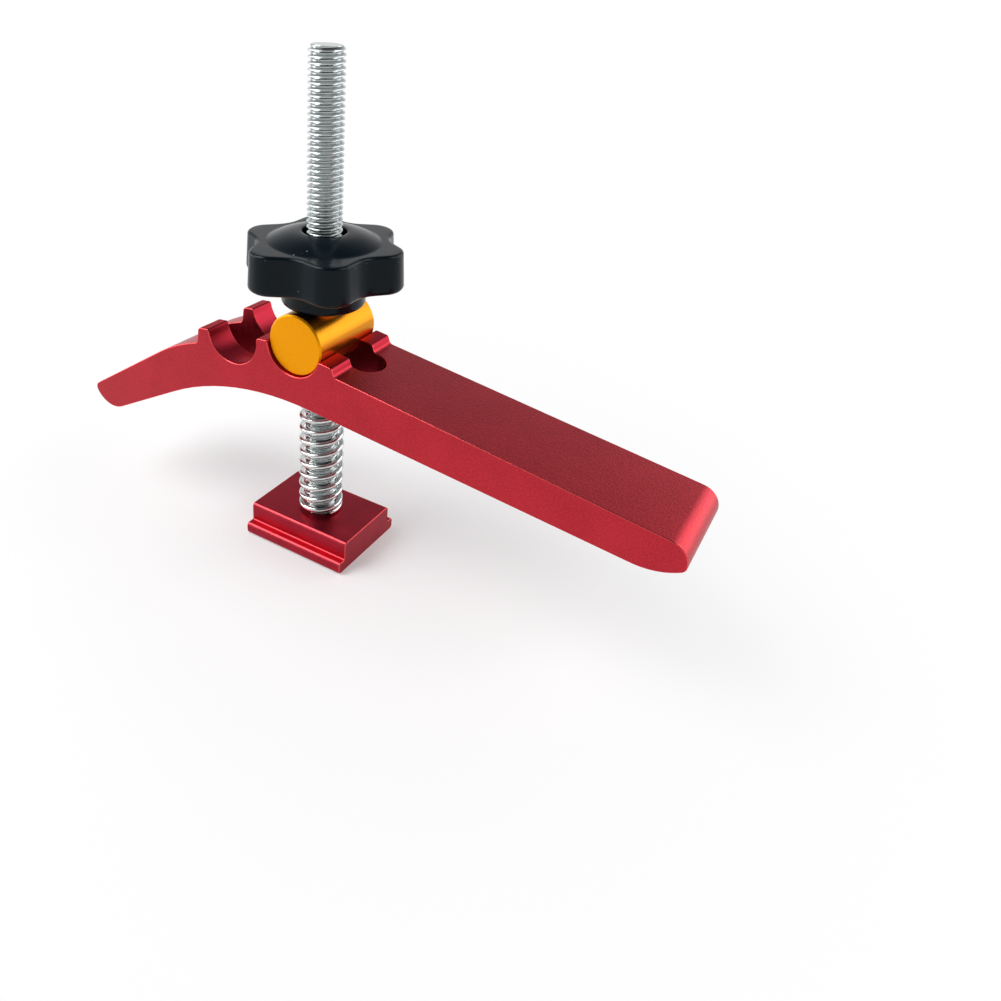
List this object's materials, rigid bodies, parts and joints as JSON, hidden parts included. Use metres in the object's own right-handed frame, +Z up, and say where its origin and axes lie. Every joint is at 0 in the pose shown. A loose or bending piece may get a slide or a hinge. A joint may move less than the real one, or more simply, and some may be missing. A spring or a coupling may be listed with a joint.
{
  "type": "strap clamp",
  "caption": "Track strap clamp: cranked arm on a cross barrel, star knob on a threaded stud, return spring and slot nut.",
  "frame": {"origin": "middle of the slot nut's underside, on the stud's axis", "axes": "+Z up along the stud, +X towards the clamp arm's long end, Y along the pivot barrel"},
  "size_m": [0.1556, 0.0356, 0.1174],
  "materials": {
    "arm_red": "bead-blasted, red anodised, satin",
    "nut_red": "extruded, red anodised, satin",
    "barrel_gold": "turned, gold anodised, bright",
    "zinc_steel": "rolled thread, bright zinc plated",
    "spring_steel": "drawn wire, bright",
    "knob_black": "moulded, semi-gloss",
    "insert_brass": "turned"
  },
  "bodies": {
    "base": {"slot_nut": "nut_red", "stud": "zinc_steel"},
    "spring": {"return_spring": "spring_steel"},
    "barrel": {"pivot_barrel": "barrel_gold"},
    "arm": {"clamp_arm": "arm_red"},
    "knob": {"star_knob": "knob_black", "knob_insert": "insert_brass"}
  },
  "joints": [
    {"name": "arm_swivel", "type": "hinge", "parent": "base", "child": "spring", "pos_m": [0, 0, 0.0076], "axis": [0, 0, 1], "continuous": true},
    {"name": "clamp_travel", "type": "slide", "parent": "spring", "child": "barrel", "axis": [0, 0, 1], "range_m": [-0.014, 0], "deforming": ["return_spring"]},
    {"name": "arm_tilt", "type": "hinge", "parent": "barrel", "child": "arm", "pos_m": [0, 0, 0.0554], "axis": [0, 1, 0], "range_deg": [-28, 12]},
    {"name": "knob_turn", "type": "hinge", "parent": "barrel", "child": "knob", "pos_m": [0, 0, 0.07], "axis": [0, 0, 1], "range_deg": [-4032, 0]}
  ],
  "couplings": [
    {"joint": "knob_turn", "follows": "clamp_travel", "rad_per_m": 5026.5}
  ]
}
